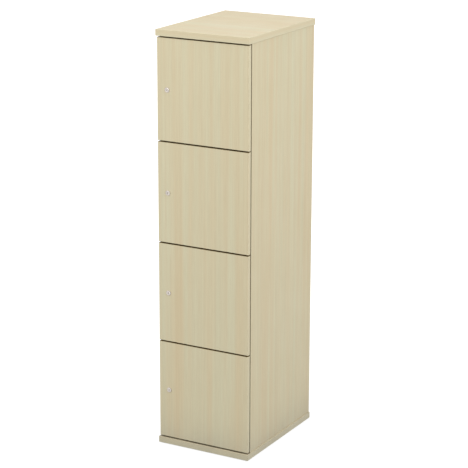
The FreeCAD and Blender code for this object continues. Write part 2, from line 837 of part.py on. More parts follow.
def lock_case(label, height):
    """The moulded lock case with its coin slot on top and its coin return cup below."""
    body = new_body(label)
    rear = door_back + cell.case_depth
    left = -cell.case_to_left
    inside_left = left + cell.case_wall
    middle = (left + cell.case_to_right) / 2
    level = (cell.case_above - cell.case_below) / 2
    width = cell.case_to_left + cell.case_to_right
    shell = Drawing(body, "XZ_Plane", door_back)
    shell.clipped(middle, level, width, cell.case_below + cell.case_above, cell.case_corner)
    shell.pad(cell.case_depth, BACKWARD)
    bevel_edges(body, cell.case_bevel, lambda box: abs(box.YMin - rear.value) < NEAR)
    window_distance = cell.case_to_left - cell.case_wall
    sweep = (cell.tongue_reach * cell.tongue_reach - window_distance * window_distance).root()
    chamber = Drawing(body, "XZ_Plane", door_back)
    chamber.rectangle(
        inside_left,
        cell.barrel_diameter / 2 + cell.tongue_play,
        -cell.tongue_reach - cell.tongue_play,
        cell.barrel_diameter / 2 + cell.tongue_play,
    )
    chamber.pocket(cell.case_depth - cell.case_wall, BACKWARD)
    window = Drawing(body, "YZ_Plane", left)
    window.rectangle(
        tongue_front - cell.tongue_play,
        tongue_back + cell.tongue_play,
        -sweep - cell.tongue_play,
        cell.tongue_width / 2 + cell.tongue_play,
    )
    window.pocket(cell.case_wall, RIGHT)
    cup_low = -cell.cup_pocket_below - cell.cup_pocket_height / 2
    cup_high = -cell.cup_pocket_below + cell.cup_pocket_height / 2
    half_cup = cell.cup_pocket_width / 2
    cup = Drawing(body, "XZ_Plane", rear)
    cup.rectangle(cell.coin_slot_across - half_cup, cell.coin_slot_across + half_cup, cup_low, cup_high)
    cup.pocket(cell.cup_pocket_depth, FORWARD)
    half_coin = (cell.coin_diameter + cell.coin_play) / 2
    half_slot = (cell.coin_thick + cell.coin_play) / 2
    slot_line = door_back + cell.coin_slot_back
    coin = Drawing(body, "XY_Plane", cell.case_above)
    coin.rectangle(
        cell.coin_slot_across - half_coin,
        cell.coin_slot_across + half_coin,
        slot_line - half_slot,
        slot_line + half_slot,
    )
    coin.pocket(cell.case_above - cup_high + cell.coin_play, DOWN)
    at_lock(body, height)


def doors():
    """Each door with its edging, the moving halves of its two hinges, and its lock."""
    cup = hinge_cup_master()
    inner_link = inner_link_master()
    outer_link = outer_link_master()
    for number in range(1, DOORS + 1):
        name = f"door_{number}"
        height = door_middle(number)
        door_panel(f"{name}_panel", height)
        door_edging(f"{name}_edging", height)
        group(f"{name}_hinge_cups", at_heights(cup, hinge_heights(number)))
        group(f"{name}_inner_links", at_heights(inner_link, hinge_heights(number)))
        group(f"{name}_outer_links", at_heights(outer_link, hinge_heights(number)))
        lock_barrel(f"{name}_lock_barrel", height)
        lock_plug(f"{name}_lock_plug", height)
        lock_tongue(f"{name}_lock_tongue", height)
        lock_case(f"{name}_lock_case", height)


def check(document):
    """Stops the build if an object failed or a step did not change its body as it should."""
    for thing in document.Objects:
        if "Invalid" in thing.State or "Error" in thing.State:
            raise RuntimeError(f"{thing.Name} failed: {thing.State}")
    for step in steps:
        before = step.BaseFeature.Shape.Volume if step.BaseFeature else 0
        added = step.Shape.Volume - before
        cuts = step.TypeId == "PartDesign::Pocket"
        if added * (-1 if cuts else 1) <= 0:
            raise RuntimeError(f"{step.Name} changed nothing")
    for node in nodes:
        if node.Shape.isNull() or not node.Shape.isValid():
            raise RuntimeError(f"{node.Label} has no valid shape")


cap_panel("top_panel", top_under, top_under, UP)
cap_panel("base_panel", cell.foot_height, base_top, DOWN)
left_side_panel()
side_panel("side_panel_right", RIGHT)
back_panel()
for divider_number, divider_label in enumerate(("divider_upper", "divider_middle", "divider_lower"), 1):
    divider(divider_label, divider_number)
edge_banding()
glides()
biscuits()
every_hinge = [height for number in range(1, DOORS + 1) for height in hinge_heights(number)]
group("hinge_plates", at_heights(hinge_plate_master(), every_hinge))
group("hinge_arms", at_heights(hinge_arm_master(), every_hinge))
strike_plates()
doors()
doc.recompute()
check(doc)
os.makedirs("parts", exist_ok=True)
for node in nodes:
    node.Shape.exportStep(f"parts/{node.Label}.step")
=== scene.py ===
import math

import bmesh
import bpy
from mathutils import Euler, Matrix, Vector


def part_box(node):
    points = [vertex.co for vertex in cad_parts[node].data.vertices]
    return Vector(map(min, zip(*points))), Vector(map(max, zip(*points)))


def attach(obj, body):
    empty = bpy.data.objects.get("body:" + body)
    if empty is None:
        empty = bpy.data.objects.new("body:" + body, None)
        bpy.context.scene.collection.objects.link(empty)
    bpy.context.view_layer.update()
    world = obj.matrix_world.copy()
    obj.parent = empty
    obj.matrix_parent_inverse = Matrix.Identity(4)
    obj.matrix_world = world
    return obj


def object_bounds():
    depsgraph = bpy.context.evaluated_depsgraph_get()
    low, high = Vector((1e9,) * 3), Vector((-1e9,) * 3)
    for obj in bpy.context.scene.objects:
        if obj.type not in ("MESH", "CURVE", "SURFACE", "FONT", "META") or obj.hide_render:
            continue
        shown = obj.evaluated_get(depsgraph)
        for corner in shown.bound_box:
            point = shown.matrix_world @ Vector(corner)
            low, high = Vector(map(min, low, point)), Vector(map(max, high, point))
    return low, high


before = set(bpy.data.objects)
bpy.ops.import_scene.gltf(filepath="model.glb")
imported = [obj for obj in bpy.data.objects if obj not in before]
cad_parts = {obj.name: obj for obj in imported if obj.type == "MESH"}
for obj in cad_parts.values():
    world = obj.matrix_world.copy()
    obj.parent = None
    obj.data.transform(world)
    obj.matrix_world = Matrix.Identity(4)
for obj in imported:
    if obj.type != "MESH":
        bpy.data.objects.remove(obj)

cad_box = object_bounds()

# Boards. Each is chipboard faced on both sides with a pale maple print under clear melamine,
# pressed against a satin plate, then sawn to size. The print runs up the doors, the sides and the
# back, and across the cap, the base and the dividers. Sawn edges show the chips where they're bare.

COLOUR = "NodeSocketColor"
NUMBER = "NodeSocketFloat"
PLACE = "NodeSocketVector"
MM = 0.001
X, Y, Z = 0, 1, 2


def node(tree, kind, inputs=(), **settings):
    """Adds a node, sets it up, and fills its inputs with values or links."""
    new = tree.nodes.new(kind)
    for name, value in settings.items():
        setattr(new, name, value)
    for socket, value in dict(inputs).items():
        if isinstance(value, bpy.types.NodeSocket):
            tree.links.new(value, new.inputs[socket])
        else:
            new.inputs[socket].default_value = value
    return new


def sum_up(tree, operation, *terms):
    return node(tree, "ShaderNodeMath", dict(enumerate(terms)), operation=operation).outputs[0]


def mix(tree, share, first, second):
    """Mixes two colours. The share is how much there is of the second."""
    return node(tree, "ShaderNodeMix", {0: share, 6: first, 7: second}, data_type="RGBA").outputs[2]


def spread(tree, value, low, high, to_low=0.0, to_high=1.0):
    """Stretches a value from one range to another and holds it there."""
    settings = {"Value": value, "From Min": low, "From Max": high, "To Min": to_low, "To Max": to_high}
    return node(tree, "ShaderNodeMapRange", settings).outputs[0]


def stretch(tree, place, scale, shift=(0, 0, 0)):
    return node(tree, "ShaderNodeMapping", {"Vector": place, "Scale": scale, "Location": shift}).outputs[0]


def cloud(tree, place, scale=1.0, detail=2.0, roughness=0.5):
    settings = {"Vector": place, "Scale": scale, "Detail": detail, "Roughness": roughness}
    return node(tree, "ShaderNodeTexNoise", settings).outputs["Fac"]


def start_group(name, inputs, outputs):
    """Starts a shader node group and returns it with its inputs and its end."""
    group = bpy.data.node_groups.new(name, "ShaderNodeTree")
    for label, kind in inputs:
        group.interface.new_socket(label, in_out="INPUT", socket_type=kind)
    for label, kind in outputs:
        group.interface.new_socket(label, in_out="OUTPUT", socket_type=kind)
    return group, node(group, "NodeGroupInput").outputs, node(group, "NodeGroupOutput")


def end_group(group, end, **results):
    for label, value in results.items():
        group.links.new(value, end.inputs[label])


def lay(tree, group, **inputs):
    """Places a group in a material with the material's own values."""
    return node(tree, "ShaderNodeGroup", inputs, node_tree=group).outputs


def start_material(name, **fixed):
    """Starts a material and returns it with its tree, its shader and its piece's coordinates."""
    material = bpy.data.materials.new(name)
    material.use_nodes = True
    tree = material.node_tree
    shader = tree.nodes["Principled BSDF"]
    for socket, value in fixed.items():
        shader.inputs[socket.replace("_", " ")].default_value = value
    return material, tree, shader, node(tree, "ShaderNodeTexCoord").outputs


def finish_material(tree, shader, colour, roughness, height, depth):
    """Links the colour, the roughness and a relief of the given depth to the shader."""
    relief = node(tree, "ShaderNodeBump", {"Height": height, "Distance": depth})
    tree.links.new(colour, shader.inputs["Base Color"])
    tree.links.new(roughness, shader.inputs["Roughness"])
    tree.links.new(relief.outputs[0], shader.inputs["Normal"])


def paint(material, *names):
    """Gives CAD nodes their finished material."""
    for name in names:
        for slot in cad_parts[name].material_slots:
            slot.material = material


# The maple print: the grain runs along Z of its place, and warmth sets how tanned the wood is.
maple_print, given, made = start_group(
    "maple_print",
    [("Place", PLACE), ("Warmth", NUMBER), ("Cool", COLOUR), ("Warm", COLOUR), ("Pores", COLOUR)],
    [("Color", COLOUR), ("Grain", NUMBER)],
)
figure = cloud(maple_print, stretch(maple_print, given["Place"], (30, 30, 0.7)), detail=3)
rays = cloud(maple_print, stretch(maple_print, given["Place"], (150, 150, 0.8)), detail=3)
fibres = cloud(maple_print, stretch(maple_print, given["Place"], (650, 650, 9)), detail=3, roughness=0.65)
pores = cloud(maple_print, stretch(maple_print, given["Place"], (1300, 1300, 110)), detail=1)
tanned = sum_up(maple_print, "ADD", given["Warmth"], spread(maple_print, figure, 0.3, 0.7, -0.5, 0.5))
wood = mix(maple_print, tanned, given["Cool"], given["Warm"])
grain = sum_up(
    maple_print,
    "ADD",
    spread(maple_print, rays, 0.3, 0.7, 0, 0.18),
    spread(maple_print, fibres, 0.3, 0.75, 0, 0.36),
)
marked = sum_up(maple_print, "ADD", grain, spread(maple_print, pores, 0.66, 0.76, 0, 0.3))
end_group(maple_print, made, Color=mix(maple_print, marked, wood, given["Pores"]), Grain=marked)

# The sheen of pressed melamine: a fine satin relief, and faint clouds where hands have passed.
satin_press, given, made = start_group(
    "satin_press", [("Place", PLACE)], [("Height", NUMBER), ("Wear", NUMBER)]
)
end_group(
    satin_press,
    made,
    Height=cloud(satin_press, given["Place"], 1500, 2, 0.6),
    Wear=spread(satin_press, cloud(satin_press, given["Place"], 8, 4, 0.6), 0.35, 0.7),
)

# Chipboard, where it is sawn: flat chips of different browns, with dark gaps between them.
DARK_CHIP = (0.30, 0.19, 0.10, 1)
PALE_CHIP = (0.56, 0.41, 0.25, 1)
BETWEEN_CHIPS = (0.13, 0.08, 0.04, 1)
sawn_chips, given, made = start_group(
    "sawn_chips", [("Place", PLACE)], [("Color", COLOUR), ("Height", NUMBER)]
)
crumpled = sum_up(sawn_chips, "MULTIPLY", cloud(sawn_chips, given["Place"], 300), 0.004)
shaken = node(sawn_chips, "ShaderNodeVectorMath", {0: given["Place"], 1: crumpled}, operation="ADD")
spaced = stretch(sawn_chips, shaken.outputs[0], (420, 420, 420))
chips = node(sawn_chips, "ShaderNodeTexVoronoi", {"Vector": spaced})
shade = node(sawn_chips, "ShaderNodeSeparateColor", {0: chips.outputs["Color"]}).outputs[0]
browns = mix(sawn_chips, shade, DARK_CHIP, PALE_CHIP)
between = spread(sawn_chips, chips.outputs["Distance"], 0.45, 0.75)
dark_gaps = mix(sawn_chips, between, browns, BETWEEN_CHIPS)
end_group(sawn_chips, made, Color=dark_gaps, Height=sum_up(sawn_chips, "SUBTRACT", 1, between))

# Darker towards the bottom: a grey tint that thickens downwards, and painted shade on the ledge that
# the base makes in front of the sides, in the gap under the lowest door.
LOW_GREY = (0.30, 0.285, 0.24, 1)
LEDGE_PAINTED_SHADE = (0.085, 0.055, 0.018, 1)
fade_top = 0.26
fade_foot = 0.012
over_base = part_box("base_panel")[1].z
side_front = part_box("side_panel_left")[0].y
greying_and_painted_shade, given, made = start_group(
    "greying_and_painted_shade", [("Place", PLACE), ("Normal", PLACE), ("Clean", COLOUR)], [("Color", COLOUR)]
)
_, forwards, height = node(greying_and_painted_shade, "ShaderNodeSeparateXYZ", {0: given["Place"]}).outputs
upwards = node(greying_and_painted_shade, "ShaderNodeSeparateXYZ", {0: given["Normal"]}).outputs[Z]
patches = spread(greying_and_painted_shade, cloud(greying_and_painted_shade, given["Place"], 14, 4, 0.6), 0.3, 0.7, 0.75, 1.25)
# Darker towards the bottom: a grey tint that grows downwards over the lowest quarter metre.
fade = sum_up(greying_and_painted_shade, "POWER", spread(greying_and_painted_shade, height, fade_top, fade_foot), 3)
thick = sum_up(greying_and_painted_shade, "MULTIPLY", sum_up(greying_and_painted_shade, "MULTIPLY", fade, patches), 0.36)
greyed = mix(greying_and_painted_shade, thick, given["Clean"], LOW_GREY)
low_front = sum_up(
    greying_and_painted_shade,
    "MULTIPLY",
    sum_up(greying_and_painted_shade, "LESS_THAN", height, over_base + MM),
    sum_up(greying_and_painted_shade, "LESS_THAN", forwards, side_front),
)
# Painted shade on the ledge under the lowest door, in patches.
on_ledge = sum_up(greying_and_painted_shade, "MULTIPLY", low_front, sum_up(greying_and_painted_shade, "GREATER_THAN", upwards, 0.95))
ledge_painted_shade = sum_up(greying_and_painted_shade, "MULTIPLY", sum_up(greying_and_painted_shade, "MULTIPLY", on_ledge, patches), 0.40)
end_group(greying_and_painted_shade, made, Color=mix(greying_and_painted_shade, ledge_painted_shade, greyed, LEDGE_PAINTED_SHADE))

COOL_MAPLE = (0.653, 0.624, 0.444, 1)
WARM_MAPLE = (0.659, 0.559, 0.369, 1)
PORES = (0.480, 0.388, 0.235, 1)
BOARD_RELIEF = 0.03 * MM
GRAIN_UP = (0, 0, 0)
GRAIN_ACROSS = (0, math.radians(90), 0)


def tan_across(tree, place, axis, tans):
    """How tanned the wood is, from shares of the way across the column and the tan at each."""
    along = node(tree, "ShaderNodeSeparateXYZ", {0: place}).outputs[axis]
    share = spread(tree, along, cad_box[0][axis], cad_box[1][axis])
    ramp = node(tree, "ShaderNodeValToRGB", {0: share})
    stops = ramp.color_ramp.elements
    for mark, _ in tans[1:-1]:
        stops.new(mark)
    for stop, (_, tan) in zip(stops, tans):
        stop.color = (tan, tan, tan, 1)
    return ramp.outputs[0]


def faced_board(name, turn, thickness_axis, width_axis, tans):
    """Faced chipboard: the print on its two faces, and bare chips on its sawn edges."""
    material, tree, shader, own = start_material(name, Specular_IOR_Level=0.2)
    turned = node(tree, "ShaderNodeMapping", {"Vector": own["Object"], "Rotation": turn}).outputs[0]
    warmth = tan_across(tree, own["Object"], width_axis, tans)
    colours = {"Warmth": warmth, "Cool": COOL_MAPLE, "Warm": WARM_MAPLE, "Pores": PORES}
    printed = lay(tree, maple_print, Place=turned, **colours)
    pressed = lay(tree, satin_press, Place=own["Object"])
    sawn = lay(tree, sawn_chips, Place=own["Object"])
    darkened = lay(tree, greying_and_painted_shade, Place=own["Object"], Normal=own["Normal"], Clean=printed["Color"])
    outwards = node(tree, "ShaderNodeSeparateXYZ", {0: own["Normal"]}).outputs[thickness_axis]
    face = sum_up(tree, "GREATER_THAN", sum_up(tree, "ABSOLUTE", outwards), 0.5)
    sheen = spread(tree, pressed["Wear"], 0, 1, 0.40, 0.52)
    soft = sum_up(tree, "ADD", pressed["Height"], sum_up(tree, "MULTIPLY", printed["Grain"], 0.5))
    coarse = sum_up(tree, "MULTIPLY", sawn["Height"], 8)
    finish_material(
        tree,
        shader,
        mix(tree, face, sawn["Color"], darkened["Color"]),
        spread(tree, face, 0, 1, 0.9, sheen),
        node(tree, "ShaderNodeMix", {0: face, 2: coarse, 3: soft}).outputs[0],
        BOARD_RELIEF,
    )
    return material


# The doors are warmer beside the locks and near the hinges, and cooler between. The cap is warmest.
DOOR_TANS = [(0, 0.35), (0.28, 0.65), (0.60, 0.30), (0.85, 0.60), (1, 0.45)]
SIDE_TANS = [(0, 0.40), (0.35, 0.60), (0.70, 0.30), (1, 0.65)]
CAP_TANS = [(0, 0.85), (0.35, 0.45), (0.55, 0.80), (1, 0.75)]

side_board = faced_board("maple_side_board", GRAIN_UP, X, Y, SIDE_TANS)
back_board = faced_board("maple_back_board", GRAIN_UP, Y, X, DOOR_TANS)
cap_board = faced_board("maple_cap_board", GRAIN_ACROSS, Z, Y, CAP_TANS)
paint(side_board, "side_panel_left", "side_panel_right")
paint(back_board, "back_panel")
paint(cap_board, "top_panel", "base_panel", "divider_upper", "divider_middle", "divider_lower")

# Edging. Two millimetre ABS strip, printed with a plainer maple along its length, glued hot round
# the boards and bevelled where it meets their faces. Painted shade darkens the side strips' outer corners.

# Painted shade for the shadow line between the doors and the sides.
PAINTED_CORNER_SHADE = (0.17, 0.13, 0.075, 1)
STRIP_RELIEF = 0.02 * MM
under_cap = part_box("top_panel")[0].z
corner_width = 2 * MM
side_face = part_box("side_panel_right")[1].x


def edging_strip(name, shaded_part, shade_colour):
    """ABS strip whose print lies along it, with painted shade on a darkened part."""
    material, tree, shader, own = start_material(name, Specular_IOR_Level=0.25)
    across, back, height = node(tree, "ShaderNodeSeparateXYZ", {0: own["Object"]}).outputs
    flat = sum_up(tree, "ABSOLUTE", node(tree, "ShaderNodeSeparateXYZ", {0: own["Normal"]}).outputs[Z])
    beyond_sides = sum_up(
        tree,
        "ADD",
        sum_up(tree, "LESS_THAN", height, over_base),
        sum_up(tree, "GREATER_THAN", height, under_cap),
    )
    level = node(tree, "ShaderNodeCombineXYZ", {0: height, 1: height}).outputs[0]
    on_top = node(tree, "ShaderNodeCombineXYZ", {0: back, 1: back}).outputs[0]
    run = node(tree, "ShaderNodeMix", {0: beyond_sides, 4: own["Object"], 5: level}, data_type="VECTOR")
    lying = sum_up(tree, "GREATER_THAN", flat, 0.9)
    run = node(tree, "ShaderNodeMix", {0: lying, 4: run.outputs[1], 5: on_top}, data_type="VECTOR")
    colours = {"Warmth": 0.45, "Cool": COOL_MAPLE, "Warm": WARM_MAPLE, "Pores": PORES}
    printed = lay(tree, maple_print, Place=run.outputs[1], **colours)
    pressed = lay(tree, satin_press, Place=own["Object"])
    darkened = lay(tree, greying_and_painted_shade, Place=own["Object"], Normal=own["Normal"], Clean=printed["Color"])
    # The darkened part is painted shade.
    dark = shaded_part(tree, across, height, flat)
    colour = mix(tree, dark, darkened["Color"], shade_colour)
    sheen = spread(tree, dark, 0, 1, spread(tree, pressed["Wear"], 0, 1, 0.34, 0.46), 0.85)
    finish_material(tree, shader, colour, sheen, pressed["Height"], STRIP_RELIEF)
    return material


def shaded_outer_corners(tree, across, height, flat):
    """Where painted shade goes: the outermost two millimetres of the side strips, between the base and the
    top.
    """
    near_side = sum_up(tree, "GREATER_THAN", sum_up(tree, "ABSOLUTE", across), side_face - corner_width)
    above = sum_up(tree, "GREATER_THAN", height, over_base)
    below = sum_up(tree, "LESS_THAN", height, under_cap)
    return sum_up(tree, "MULTIPLY", near_side, sum_up(tree, "MULTIPLY", above, below))


paint(edging_strip("maple_carcass_strip", shaded_outer_corners, PAINTED_CORNER_SHADE), "edge_banding")

# Biscuits and glides. The biscuits are pressed beech, glued out of sight in the joints. The
# glides are black nylon discs, moulded with a dull surface and nailed under the base.

MOULDED_RELIEF = 0.04 * MM
BEECH_RELIEF = 0.05 * MM

moulded_skin, given, made = start_group(
    "moulded_skin", [("Place", PLACE)], [("Height", NUMBER), ("Wear", NUMBER)]
)
end_group(
    moulded_skin,
    made,
    Height=cloud(moulded_skin, given["Place"], 2600, 2, 0.7),
    Wear=spread(moulded_skin, cloud(moulded_skin, given["Place"], 22, 3, 0.6), 0.35, 0.7),
)


def moulding(name, colour, worn_colour, roughness=(0.42, 0.58), **fixed):
    material, tree, shader, own = start_material(name, **fixed)
    skin = lay(tree, moulded_skin, Place=own["Object"])
    colours = mix(tree, skin["Wear"], colour, worn_colour)
    sheen = spread(tree, skin["Wear"], 0, 1, *roughness)
    finish_material(tree, shader, colours, sheen, skin["Height"], MOULDED_RELIEF)
    return material


def beech_print(name):
    material, tree, shader, own = start_material(name)
    printed = lay(
        tree,
        maple_print,
        Place=own["Object"],
        Warmth=0.5,
        Cool=(0.55, 0.37, 0.21, 1),
        Warm=(0.58, 0.38, 0.21, 1),
        Pores=(0.34, 0.20, 0.10, 1),
    )
    dull = spread(tree, printed["Grain"], 0, 1, 0.6, 0.8)
    finish_material(tree, shader, printed["Color"], dull, printed["Grain"], BEECH_RELIEF)
    return material


paint(moulding("black_nylon", (0.020, 0.020, 0.021, 1), (0.034, 0.034, 0.034, 1)), "glides")
paint(beech_print("pressed_beech"), "biscuits")

# Hinge plates and arms. Each plate is a nickel plated casting screwed to the side, and each arm
# is folded from nickel plated steel and held on the plate's saddle by two machine screws.

drawn_metal, given, made = start_group(
    "drawn_metal", [("Place", PLACE)], [("Height", NUMBER), ("Wear", NUMBER)]
)
end_group(
    drawn_metal,
    made,
    Height=cloud(drawn_metal, stretch(drawn_metal, given["Place"], (300, 60, 2600)), 1, 2, 0.6),
    Wear=spread(drawn_metal, cloud(drawn_metal, given["Place"], 60, 3, 0.6), 0.35, 0.7),
)


def plated(name, colour, dull_colour, roughness, depth=0.01 * MM):
    material, tree, shader, own = start_material(name, Metallic=1)
    skin = lay(tree, drawn_metal, Place=own["Object"])
    colours = mix(tree, skin["Wear"], colour, dull_colour)
    sheen = spread(tree, skin["Wear"], 0, 1, *roughness)
    finish_material(tree, shader, colours, sheen, skin["Height"], depth)
    return material


nickel = plated("nickel_plated_steel", (0.66, 0.63, 0.58, 1), (0.56, 0.53, 0.48, 1), (0.22, 0.36))
casting = plated("nickel_plated_casting", (0.60, 0.59, 0.56, 1), (0.50, 0.49, 0.46, 1), (0.30, 0.44))
paint(nickel, "hinge_arms")
paint(casting, "hinge_plates")


def screw_head(radius, rise):
    """A low head with a cross recess, standing on Z = 0 with its top at the rise."""
    reach = radius * 0.55
    half_slot = radius * 0.14
    rounding = rise * 0.55
    recess_depth = rise * 0.7
    recess_taper = 0.6
    head = bmesh.new()
    bmesh.ops.create_grid(head, x_segments=3, y_segments=3, size=reach)
    for corner in head.verts:
        for axis in (X, Y):
            if abs(corner.co[axis]) < reach / 2:
                corner.co[axis] = math.copysign(half_slot, corner.co[axis])
    corners = []
    for face in head.faces:
        middle = face.calc_center_median()
        if min(abs(middle.x), abs(middle.y)) > half_slot:
            corners.append(face)
    bmesh.ops.delete(head, geom=corners, context="FACES")
    cross = list(head.faces)
    outline = [edge for edge in head.edges if edge.is_boundary]
    rim = bmesh.ops.extrude_edge_only(head, edges=outline)["geom"]
    rim_edges = [part for part in rim if isinstance(part, bmesh.types.BMEdge)]
    bmesh.ops.subdivide_edges(head, edges=rim_edges, cuts=1)
    rim_edges = [edge for edge in head.edges if edge.is_boundary]
    for corner in {corner for edge in rim_edges for corner in edge.verts}:
        corner.co = corner.co.normalized() * radius
    bmesh.ops.translate(head, verts=head.verts, vec=(0, 0, rise))
    skirt = bmesh.ops.extrude_edge_only(head, edges=rim_edges)["geom"]
    foot = [part for part in skirt if isinstance(part, bmesh.types.BMVert)]
    bmesh.ops.translate(head, verts=foot, vec=(0, 0, -rise))
    bmesh.ops.bevel(
        head,
        geom=rim_edges,
        offset=rounding,
        affect="EDGES",
        segments=3,
        profile=0.5,
        material=-1,
    )
    bmesh.ops.holes_fill(head, edges=[edge for edge in head.edges if edge.is_boundary])
    sunk = bmesh.ops.extrude_face_region(head, geom=cross)["geom"]
    floor_corners = [part for part in sunk if isinstance(part, bmesh.types.BMVert)]
    bmesh.ops.delete(head, geom=cross, context="FACES_ONLY")
    bmesh.ops.scale(head, verts=floor_corners, vec=(recess_taper, recess_taper, 1))
    bmesh.ops.translate(head, verts=floor_corners, vec=(0, 0, -recess_depth))
    bmesh.ops.recalc_face_normals(head, faces=head.faces)
    shape = bpy.data.meshes.new("screw_head")
    head.to_mesh(shape)
    head.free()
    return shape


def set_out(name, shape, places, body, material):
    """Sets copies of a shape at their places as one piece that moves with a body."""
    sharp_angle = math.radians(35)
    whole = bmesh.new()
    for place in places:
        count = len(whole.verts)
        whole.from_mesh(shape)
        whole.verts.ensure_lookup_table()
        bmesh.ops.transform(whole, matrix=place, verts=whole.verts[count:])
    for face in whole.faces:
        face.smooth = True
    mesh = bpy.data.meshes.new(name)
    whole.to_mesh(mesh)
    whole.free()
    mesh.set_sharp_from_angle(angle=sharp_angle)
    mesh.materials.append(material)
    piece = bpy.data.objects.new(name, mesh)
    bpy.context.collection.objects.link(piece)
    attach(piece, body)


def facing(x, y, z, towards, twist=0):
    """A place whose own Z points towards +X, -X, +Y or -Y, twisted about itself."""
    turn = {"+X": (0, 90, 0), "-X": (0, -90, 0), "+Y": (-90, 0, 0), "-Y": (90, 0, 0)}[towards]
    turned = Euler([math.radians(angle) for angle in turn]).to_matrix().to_4x4()
    return Matrix.Translation((x, y, z)) @ turned @ Matrix.Rotation(math.radians(twist), 4, "Z")


door_numbers = (1, 2, 3, 4)
half_wing_length = 28.5 * MM
plate_thick = 2.5 * MM
plate_screw_spread = 16 * MM
arm_screw_setbacks = (7, 26)


def hinge_heights(number):
    """The heights of a door's two hinges, from the cups' lowest and highest corners."""
    low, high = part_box(f"door_{number}_hinge_cups")
    return low.z + half_wing_length, high.z - half_wing_length


# Screws stop at any angle, so those of each hinge are twisted a step further than the last one's.
plate_screw_twist = 37
arm_screw_twist = 23
all_hinge_heights = [height for number in door_numbers for height in hinge_heights(number)]
plate_low, plate_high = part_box("hinge_plates")
plate_face = plate_high.x - plate_thick
plate_row = (plate_low.y + plate_high.y) / 2
arm_low, arm_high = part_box("hinge_arms")
wood_screw = screw_head(3.9 * MM, 1.3 * MM)
machine_screw = screw_head(2.9 * MM, 1.6 * MM)
bright_zinc = plated("bright_zinc", (0.70, 0.71, 0.73, 1), (0.58, 0.59, 0.61, 1), (0.20, 0.34))
set_out(
    "hinge_plate_screws",
    wood_screw,
    [
        facing(plate_face, plate_row, height + side * plate_screw_spread, "-X", plate_screw_twist * step)
        for step, height in enumerate(all_hinge_heights)
        for side in (-1, 1)
    ],
    "carcass",
    bright_zinc,
)
set_out(
    "hinge_arm_screws",
    machine_screw,
    [
        facing(arm_low.x, arm_high.y - back * MM, height, "-X", arm_screw_twist * step + back)
        for step, height in enumerate(all_hinge_heights)
        for back in arm_screw_setbacks
    ],
    "carcass",
    bright_zinc,
)

# Strike plates. Zinc plated steel, let in flush over a mortise in the left side, each held by
# two countersunk screws whose heads stand a hair above the plate.

strike_screw_twist = 31
strike_screw_heights = (-31, 16.5)
screw_sink = 0.3 * MM
strike_low, strike_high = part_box("strike_plates")
strike_face = strike_high.x - screw_sink
strike_row = (strike_low.y + strike_high.y) / 2
zinc_steel = plated("zinc_plated_steel", (0.62, 0.63, 0.65, 1), (0.50, 0.51, 0.53, 1), (0.30, 0.45))
paint(zinc_steel, "strike_plates")


def lock_height(number):
    """The height of a lock's axis, which is the middle of its barrel."""
    low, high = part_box(f"door_{number}_lock_barrel")
    return (low.z + high.z) / 2


sunk_screw = screw_head(3.4 * MM, 0.6 * MM)
set_out(
    "strike_plate_screws",
    sunk_screw,
    [
        facing(
            strike_face, strike_row, lock_height(number) + up * MM, "+X", strike_screw_twist * number + up
        )
        for number in door_numbers
        for up in strike_screw_heights
    ],
    "carcass",
    bright_zinc,
)

# Doors. The four doors are sawn from one board, so the figure of the print runs on through all
# of them. Each is edged all round, with soft buffers behind. The level edges and their bevels carry
# painted shade in dark brown, which deepens the gaps between the doors.

# Painted shade for the gaps between the doors, in dark brown.
PAINTED_GAP_SHADE = (0.120, 0.070, 0.010, 1)


def gap_shade_faces(tree, across, height, flat):
    """Where painted shade goes: the faces that look up and down across the gaps, and more faintly their
    bevels.
    """
    return spread(tree, flat, 0.3, 0.95)


door_board = faced_board("maple_door_board", GRAIN_UP, Y, X, DOOR_TANS)
door_strip = edging_strip("maple_door_strip", gap_shade_faces, PAINTED_GAP_SHADE)
for number in door_numbers:
    paint(door_board, f"door_{number}_panel")
    paint(door_strip, f"door_{number}_edging")

buffer_radius = 4.5 * MM
buffer_rise = 2.6 * MM
buffer_rounding = 2.1 * MM
buffer_inset = 7 * MM
buffer_spread = 183 * MM
dome = bmesh.new()
bmesh.ops.create_circle(dome, cap_ends=True, cap_tris=False, segments=28, radius=buffer_radius)
raised = bmesh.ops.extrude_face_region(dome, geom=list(dome.faces))["geom"]
bmesh.ops.translate(
    dome,
    verts=[part for part in raised if isinstance(part, bmesh.types.BMVert)],
    vec=(0, 0, buffer_rise),
)
top_rim = [edge for edge in dome.edges if all(corner.co.z > buffer_rise / 2 for corner in edge.verts)]
bmesh.ops.bevel(
    dome,
    geom=top_rim,
    offset=buffer_rounding,
    affect="EDGES",
    segments=6,
    profile=0.5,
    material=-1,
)
bmesh.ops.recalc_face_normals(dome, faces=dome.faces)
buffer_shape = bpy.data.meshes.new("buffer")
dome.to_mesh(buffer_shape)
dome.free()
clear_rubber = moulding(
    "clear_soft_rubber",
    (0.82, 0.83, 0.82, 1),
    (0.74, 0.74, 0.71, 1),
    (0.18, 0.34),
    Transmission_Weight=0.45,
    IOR=1.49,
)
for number in door_numbers:
    low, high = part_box(f"door_{number}_panel")
    row = low.x + buffer_inset
    set_out(
        f"door_{number}_buffers",
        buffer_shape,
        [facing(row, high.y, lock_height(number) + side * buffer_spread, "+Y") for side in (-1, 1)],
        f"door_{number}",
        clear_rubber,
    )

# Hinge cups and links. The cups are nickel plated castings pressed into the doors and held by
# two screws through their wings. The links are pressed steel, and turn on riveted pins.

